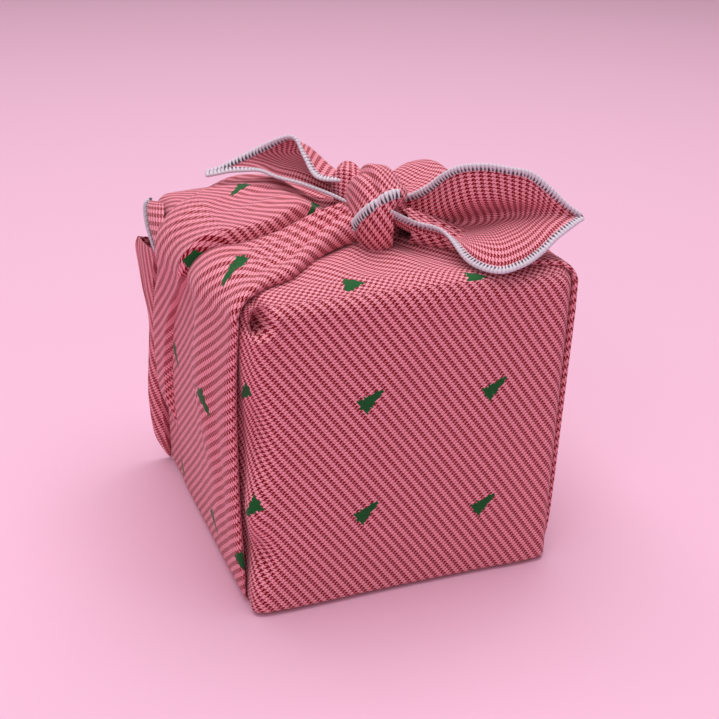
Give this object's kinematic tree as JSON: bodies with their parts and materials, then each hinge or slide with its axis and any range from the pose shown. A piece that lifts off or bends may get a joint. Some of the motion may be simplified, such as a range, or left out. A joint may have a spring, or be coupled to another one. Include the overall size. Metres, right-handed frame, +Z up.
{
  "type": "furoshiki wrap",
  "caption": "Square cotton wrapping cloth folded round a small cube-like box shape, its ties gathered in a square knot with open ears on top.",
  "frame": {"origin": "centre of the flat base", "axes": "+Z up, -Y out of the plain front panel, the ties cross the left (-X) and right (+X) faces"},
  "size_m": [0.1387, 0.1381, 0.1551],
  "materials": {
    "wrap_cloth": "matt woven cotton, yarn-dyed red and white houndstooth with woven green fir trees"
  },
  "bodies": {
    "root": {"furoshiki_wrap": "wrap_cloth"}
  },
  "joints": []
}
